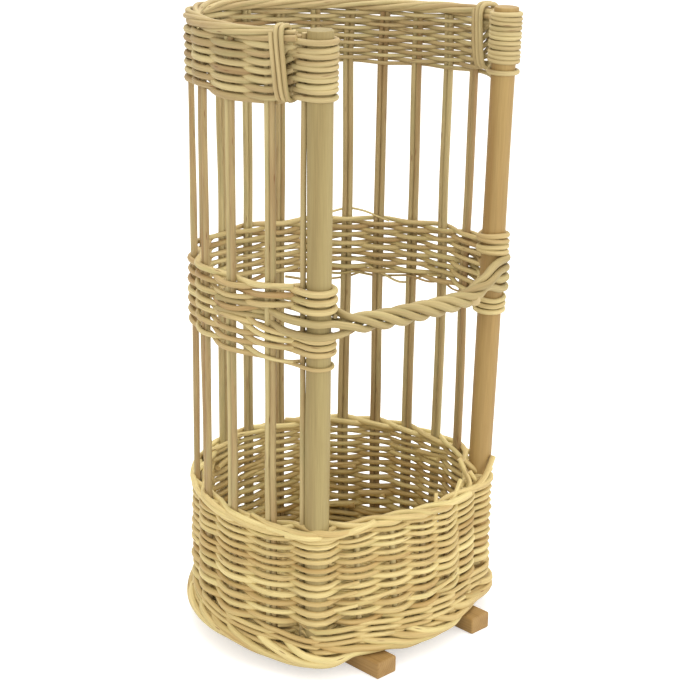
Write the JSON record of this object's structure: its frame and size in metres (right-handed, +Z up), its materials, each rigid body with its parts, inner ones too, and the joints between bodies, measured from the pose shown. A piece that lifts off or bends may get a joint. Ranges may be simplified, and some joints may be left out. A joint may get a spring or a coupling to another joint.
{
  "type": "woven bread basket stand",
  "caption": "Tall round willow basket for standing loaves, open in front and on top, with a woven tub, two woven bands on upright rods, front posts and a twisted handle, on wooden runners.",
  "frame": {"origin": "middle of the footprint of the bounding box, on the floor under the runners", "axes": "+Z up from floor to head border, -Y towards the open front with the handle, +X to the right as seen from the front"},
  "size_m": [0.3524, 0.3286, 0.7049],
  "materials": {
    "willow_weave": "peeled willow weavers, satin, straw yellow with tan stains",
    "willow_stakes": "peeled willow rods, satin, straw to tan",
    "post_wood": "smooth peeled poles, satin golden tan",
    "runner_wood": "planed softwood, unfinished, warm tan"
  },
  "bodies": {
    "root": {"runner_left": "runner_wood", "runner_right": "runner_wood", "post_left": "post_wood", "post_right": "post_wood", "stake_01a": "willow_stakes", "stake_01b": "willow_stakes", "stake_02a": "willow_stakes", "stake_02b": "willow_stakes", "stake_03a": "willow_stakes", "stake_03b": "willow_stakes", "stake_04a": "willow_stakes", "stake_04b": "willow_stakes", "stake_05a": "willow_stakes", "stake_05b": "willow_stakes", "stake_06a": "willow_stakes", "stake_06b": "willow_stakes", "stake_07a": "willow_stakes", "stake_07b": "willow_stakes", "stake_08a": "willow_stakes", "stake_08b": "willow_stakes", "stake_09a": "willow_stakes", "stake_09b": "willow_stakes", "stake_10a": "willow_stakes", "stake_10b": "willow_stakes", "stake_11a": "willow_stakes", "stake_11b": "willow_stakes", "stake_12a": "willow_stakes", "stake_12b": "willow_stakes", "stake_13a": "willow_stakes", "stake_13b": "willow_stakes", "stake_14a": "willow_stakes", "stake_14b": "willow_stakes", "front_stake_1": "willow_stakes", "front_stake_2": "willow_stakes", "front_stake_3": "willow_stakes", "front_stake_4": "willow_stakes", "front_stake_5": "willow_stakes", "post_rod_left": "willow_stakes", "post_rod_right": "willow_stakes", "base_mat": "willow_weave", "foot_border": "willow_weave", "tub_weave": "willow_weave", "tub_rim_outer": "willow_weave", "tub_rim_inner": "willow_weave", "waist_weave": "willow_weave", "head_weave": "willow_weave", "head_border": "willow_weave", "head_winding_left": "willow_weave", "waist_winding_upper_left": "willow_weave", "waist_winding_lower_left": "willow_weave", "head_winding_right": "willow_weave", "waist_winding_upper_right": "willow_weave", "waist_winding_lower_right": "willow_weave", "head_binding_left": "willow_weave", "head_binding_right": "willow_weave", "handle_rod_1": "willow_weave", "handle_rod_2": "willow_weave", "handle_rod_3": "willow_weave", "handle_rod_4": "willow_weave"}
  },
  "joints": []
}
